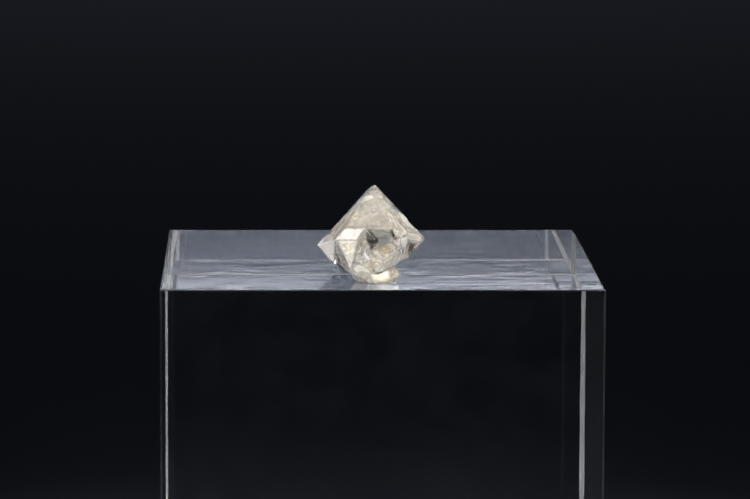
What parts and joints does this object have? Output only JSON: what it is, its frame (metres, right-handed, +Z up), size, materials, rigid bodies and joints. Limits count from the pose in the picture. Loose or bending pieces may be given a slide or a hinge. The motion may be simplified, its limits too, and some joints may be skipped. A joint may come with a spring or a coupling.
{
  "type": "quartz crystal on an acrylic display block",
  "caption": "Doubly terminated clear quartz crystal fixed with a dab of mounting wax on a solid clear acrylic display block.",
  "frame": {"origin": "middle of the acrylic block's base, on the surface it stands on", "axes": "+Z up, +X to the right and -Y towards the front, the side the crystal stands near"},
  "size_m": [0.05, 0.05, 0.0538],
  "materials": {
    "clear_acrylic": "polished clear cast acrylic, chamfered edges, lightly scratched",
    "wax": "hand-pressed translucent mounting wax",
    "quartz": "natural crystal faces, slightly milky, iron-stained fractures inside"
  },
  "bodies": {
    "root": {"acrylic_block": "clear_acrylic", "mounting_wax": "wax", "quartz_crystal": "quartz"}
  },
  "joints": []
}
